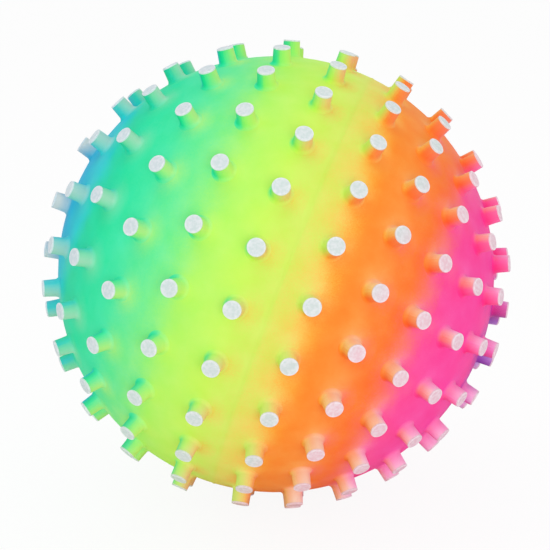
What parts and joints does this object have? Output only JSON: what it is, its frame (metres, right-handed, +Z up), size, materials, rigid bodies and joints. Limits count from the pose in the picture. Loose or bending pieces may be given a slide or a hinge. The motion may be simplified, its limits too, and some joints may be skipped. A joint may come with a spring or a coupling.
{
  "type": "sensory ball",
  "caption": "Soft inflatable ball with rows of short round knobs with white printed ends, sprayed in rainbow bands, with a push-in air stopper at one pole.",
  "frame": {"origin": "centre of the ball, halfway between its two poles", "axes": "+Z up as the ball stands on four knobs of the first two pink rows, -Y towards the camera of the picture, which looks down 15 degrees, +X to the picture's right; the poles' axis runs from the blue pole (left, up) to the pink pole (right, down, a little towards the camera)"},
  "size_m": [0.1796, 0.1794, 0.179],
  "materials": {
    "skin": "soft PVC casting with a satin sheen, sprayed in bands from blue at one pole through green, yellow and orange to pink and purple at the other",
    "printed_dots": "satin white print",
    "valve_seat": "plain soft PVC",
    "stopper": "satin soft PVC"
  },
  "bodies": {
    "ball": {"skin": "skin", "valve_seat": "valve_seat", "dots_blue_1": "printed_dots", "dots_blue_2": "printed_dots", "dots_blue_3": "printed_dots", "dots_blue_4": "printed_dots", "dots_blue_5": "printed_dots", "dots_blue_6": "printed_dots", "dots_pink_1": "printed_dots", "dots_pink_2": "printed_dots", "dots_pink_3": "printed_dots", "dots_pink_4": "printed_dots", "dots_pink_5": "printed_dots", "dots_pink_6": "printed_dots", "dot_pink_pole": "printed_dots"},
    "stopper": {"valve_plug": "stopper"}
  },
  "joints": [
    {"name": "stopper_slide", "type": "slide", "parent": "ball", "child": "stopper", "axis": [-0.9293, 0.1562, 0.3346], "range_m": [0, 0.018]}
  ]
}
